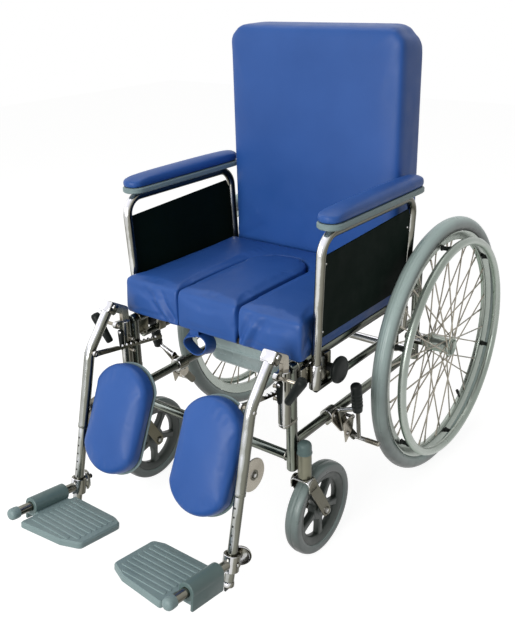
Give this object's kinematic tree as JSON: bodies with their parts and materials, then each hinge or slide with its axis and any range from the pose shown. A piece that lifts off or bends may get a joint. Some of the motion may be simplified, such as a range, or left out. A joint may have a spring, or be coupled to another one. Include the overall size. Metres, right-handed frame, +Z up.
{
  "type": "self-propelled commode wheelchair",
  "caption": "Self-propelled wheelchair with padded commode seat, lift-out seat plug and pan, high back, lift-out armrests and swing-away elevating legrests with calf pads.",
  "frame": {"origin": "on the floor under the middle of the chair's bounding box", "axes": "+Z up, +Y to the rear, so the chair faces -Y, +X to the sitter's left"},
  "size_m": [0.647, 1.195, 1.026],
  "materials": {
    "chrome": "bright plated steel",
    "aluminium": "satin",
    "grey_rubber": "matt grey rubber",
    "grey_plastic": "moulded grey",
    "black_plastic": "moulded black",
    "blue_vinyl": "satin upholstery vinyl",
    "board": "plywood",
    "pan_plastic": "moulded off-white"
  },
  "bodies": {
    "chair": {"front_cross_tube": "chrome", "back_frame": "chrome", "back_board": "board", "back_cushion": "blue_vinyl", "seat_board": "board", "seat_cushion": "blue_vinyl", "left_side_frame": "chrome", "left_caster_cap": "grey_plastic", "left_rear_axle": "chrome", "left_brake_bracket": "chrome", "right_side_frame": "chrome", "right_caster_cap": "grey_plastic", "right_rear_axle": "chrome", "right_brake_bracket": "chrome"},
    "seat_plug": {"seat_plug": "blue_vinyl"},
    "commode_pan": {"commode_pan": "pan_plastic"},
    "left_wheel": {"left_rear_tyre": "grey_rubber", "left_rear_rim": "aluminium", "left_rear_hub": "chrome", "left_handrim": "aluminium"},
    "left_caster_fork": {"left_caster_fork": "chrome"},
    "left_caster": {"left_caster_wheel": "grey_plastic", "left_caster_tyre": "grey_rubber"},
    "left_armrest": {"left_arm_tube": "chrome", "left_side_panel": "black_plastic", "left_armrest_base": "grey_plastic", "left_armrest_pad": "blue_vinyl"},
    "left_knob": {"left_arm_knob": "black_plastic"},
    "left_brake": {"left_brake_lever": "chrome"},
    "left_hanger": {"left_legrest_hanger": "chrome"},
    "left_latch": {"left_latch_lever": "black_plastic"},
    "left_release": {"left_release_lever": "grey_plastic"},
    "left_leg": {"left_leg_tube": "chrome"},
    "left_ratchet": {"left_ratchet_bar": "chrome"},
    "left_calf": {"left_calf_shell": "grey_plastic", "left_calf_pad": "blue_vinyl"},
    "left_foot": {"left_foot_tube": "chrome"},
    "left_footplate": {"left_footplate": "grey_plastic"},
    "right_wheel": {"right_rear_tyre": "grey_rubber", "right_rear_rim": "aluminium", "right_rear_hub": "chrome", "right_handrim": "aluminium"},
    "right_caster_fork": {"right_caster_fork": "chrome"},
    "right_caster": {"right_caster_wheel": "grey_plastic", "right_caster_tyre": "grey_rubber"},
    "right_armrest": {"right_arm_tube": "chrome", "right_side_panel": "black_plastic", "right_armrest_base": "grey_plastic", "right_armrest_pad": "blue_vinyl"},
    "right_knob": {"right_arm_knob": "black_plastic"},
    "right_brake": {"right_brake_lever": "chrome"},
    "right_hanger": {"right_legrest_hanger": "chrome"},
    "right_latch": {"right_latch_lever": "black_plastic"},
    "right_release": {"right_release_lever": "grey_plastic"},
    "right_leg": {"right_leg_tube": "chrome"},
    "right_ratchet": {"right_ratchet_bar": "chrome"},
    "right_calf": {"right_calf_shell": "grey_plastic", "right_calf_pad": "blue_vinyl"},
    "right_foot": {"right_foot_tube": "chrome"},
    "right_footplate": {"right_footplate": "grey_plastic"}
  },
  "joints": [
    {"name": "seat_plug_lift", "type": "slide", "parent": "chair", "child": "seat_plug", "axis": [0, 0, 1], "range_m": [0, 0.12]},
    {"name": "commode_pan_slide", "type": "slide", "parent": "chair", "child": "commode_pan", "axis": [0, 1, 0], "range_m": [0, 0.25]},
    {"name": "left_wheel_spin", "type": "hinge", "parent": "chair", "child": "left_wheel", "pos_m": [0.278, 0.2925, 0.305], "axis": [1, 0, 0], "continuous": true},
    {"name": "left_caster_swivel", "type": "hinge", "parent": "chair", "child": "left_caster_fork", "pos_m": [0.2385, -0.2165, 0.2006], "axis": [0, 0, 1], "continuous": true},
    {"name": "left_caster_spin", "type": "hinge", "parent": "left_caster_fork", "child": "left_caster", "pos_m": [0.2385, -0.1695, 0.1], "axis": [1, 0, 0], "continuous": true},
    {"name": "left_armrest_lift", "type": "slide", "parent": "chair", "child": "left_armrest", "axis": [0.0489, 0, 0.9988], "range_m": [0, 0.2]},
    {"name": "left_knob_turn", "type": "hinge", "parent": "chair", "child": "left_knob", "pos_m": [0.2325, -0.1235, 0.404], "axis": [1, 0, 0], "continuous": true},
    {"name": "left_brake_swing", "type": "hinge", "parent": "chair", "child": "left_brake", "pos_m": [0.2325, -0.0575, 0.235], "axis": [1, 0, 0], "range_deg": [0, 30]},
    {"name": "left_legrest_swing", "type": "hinge", "parent": "chair", "child": "left_hanger", "pos_m": [0.213, -0.24605, 0.328], "axis": [0, 0, 1], "range_deg": [0, 70]},
    {"name": "left_latch_turn", "type": "hinge", "parent": "left_hanger", "child": "left_latch", "pos_m": [0.213, -0.26135, 0.416], "axis": [0, -1, 0], "range_deg": [0, 25]},
    {"name": "left_release_turn", "type": "hinge", "parent": "left_hanger", "child": "left_release", "pos_m": [0.213, -0.27, 0.437], "axis": [1, 0, 0], "range_deg": [0, 20], "stiffness_Nm_per_rad": 0.6},
    {"name": "left_leg_elevate", "type": "hinge", "parent": "left_hanger", "child": "left_leg", "pos_m": [0.213, -0.2835, 0.486], "axis": [-1, 0, 0], "range_deg": [0, 60]},
    {"name": "left_ratchet_follow", "type": "hinge", "parent": "left_leg", "child": "left_ratchet", "pos_m": [0.194, -0.3492, 0.405], "axis": [1, 0, 0], "range_deg": [0, 31]},
    {"name": "left_calf_tilt", "type": "hinge", "parent": "left_leg", "child": "left_calf", "pos_m": [0.213, -0.34689, 0.26637], "axis": [1, 0, 0], "range_deg": [-10, 10]},
    {"name": "left_foot_slide", "type": "slide", "parent": "left_leg", "child": "left_foot", "axis": [0, 0.2406, 0.9706], "range_m": [0, 0.08]},
    {"name": "left_foot_flip", "type": "hinge", "parent": "left_foot", "child": "left_footplate", "pos_m": [0.213, -0.42089, 0.11575], "axis": [0, 0.989, -0.1478], "range_deg": [0, 85]},
    {"name": "right_wheel_spin", "type": "hinge", "parent": "chair", "child": "right_wheel", "pos_m": [-0.278, 0.2925, 0.305], "axis": [1, 0, 0], "continuous": true},
    {"name": "right_caster_swivel", "type": "hinge", "parent": "chair", "child": "right_caster_fork", "pos_m": [-0.2385, -0.2165, 0.2006], "axis": [0, 0, -1], "continuous": true},
    {"name": "right_caster_spin", "type": "hinge", "parent": "right_caster_fork", "child": "right_caster", "pos_m": [-0.2385, -0.1695, 0.1], "axis": [1, 0, 0], "continuous": true},
    {"name": "right_armrest_lift", "type": "slide", "parent": "chair", "child": "right_armrest", "axis": [-0.0489, 0, 0.9988], "range_m": [0, 0.2]},
    {"name": "right_knob_turn", "type": "hinge", "parent": "chair", "child": "right_knob", "pos_m": [-0.2325, -0.1235, 0.404], "axis": [1, 0, 0], "continuous": true},
    {"name": "right_brake_swing", "type": "hinge", "parent": "chair", "child": "right_brake", "pos_m": [-0.2325, -0.0575, 0.235], "axis": [1, 0, 0], "range_deg": [0, 30]},
    {"name": "right_legrest_swing", "type": "hinge", "parent": "chair", "child": "right_hanger", "pos_m": [-0.213, -0.24605, 0.328], "axis": [0, 0, -1], "range_deg": [0, 70]},
    {"name": "right_latch_turn", "type": "hinge", "parent": "right_hanger", "child": "right_latch", "pos_m": [-0.213, -0.26135, 0.416], "axis": [0, 1, 0], "range_deg": [0, 25]},
    {"name": "right_release_turn", "type": "hinge", "parent": "right_hanger", "child": "right_release", "pos_m": [-0.213, -0.27, 0.437], "axis": [1, 0, 0], "range_deg": [0, 20], "stiffness_Nm_per_rad": 0.6},
    {"name": "right_leg_elevate", "type": "hinge", "parent": "right_hanger", "child": "right_leg", "pos_m": [-0.213, -0.2835, 0.486], "axis": [-1, 0, 0], "range_deg": [0, 60]},
    {"name": "right_ratchet_follow", "type": "hinge", "parent": "right_leg", "child": "right_ratchet", "pos_m": [-0.194, -0.3492, 0.405], "axis": [1, 0, 0], "range_deg": [0, 31]},
    {"name": "right_calf_tilt", "type": "hinge", "parent": "right_leg", "child": "right_calf", "pos_m": [-0.213, -0.34689, 0.26637], "axis": [1, 0, 0], "range_deg": [-10, 10]},
    {"name": "right_foot_slide", "type": "slide", "parent": "right_leg", "child": "right_foot", "axis": [0, 0.2406, 0.9706], "range_m": [0, 0.08]},
    {"name": "right_foot_flip", "type": "hinge", "parent": "right_foot", "child": "right_footplate", "pos_m": [-0.213, -0.42089, 0.11575], "axis": [0, -0.989, 0.1478], "range_deg": [0, 85]}
  ],
  "couplings": [
    {"joint": "left_ratchet_follow", "follows": "left_leg_elevate", "ratio": 0.503},
    {"joint": "right_ratchet_follow", "follows": "right_leg_elevate", "ratio": 0.503}
  ]
}
